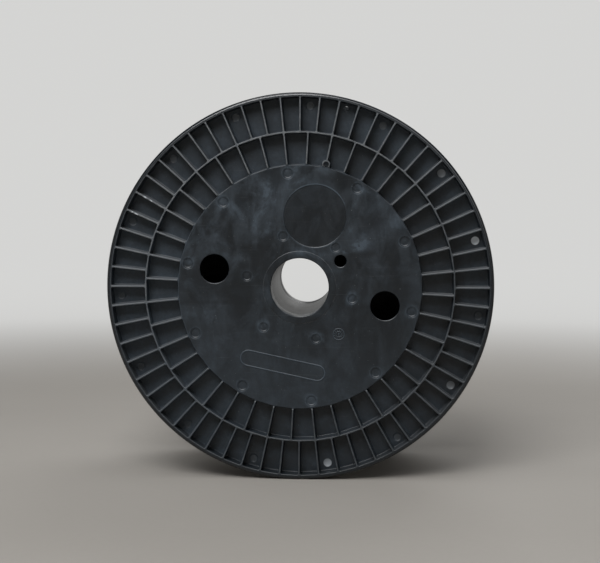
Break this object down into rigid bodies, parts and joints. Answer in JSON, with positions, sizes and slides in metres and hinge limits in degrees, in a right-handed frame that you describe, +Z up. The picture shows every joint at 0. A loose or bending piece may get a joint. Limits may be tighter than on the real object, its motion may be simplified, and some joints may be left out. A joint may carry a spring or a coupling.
{
  "type": "plastic wire spool",
  "caption": "Empty black plastic spool for wire: ribbed round flanges on a hollow barrel, with a central bore, drive holes and wire holes.",
  "frame": {"origin": "on the bore axis, half way between the flanges' outer faces", "axes": "+Z up as the spool stands on its rims, -Y out of the front flange along the bore, +X right"},
  "size_m": [0.4, 0.2, 0.4],
  "materials": {
    "flange_plastic": "satin black moulded plastic, scuffed and dusty",
    "barrel_plastic": "satin black moulded plastic"
  },
  "bodies": {
    "root": {"front_flange": "flange_plastic", "barrel": "barrel_plastic", "back_flange": "flange_plastic"}
  },
  "joints": []
}
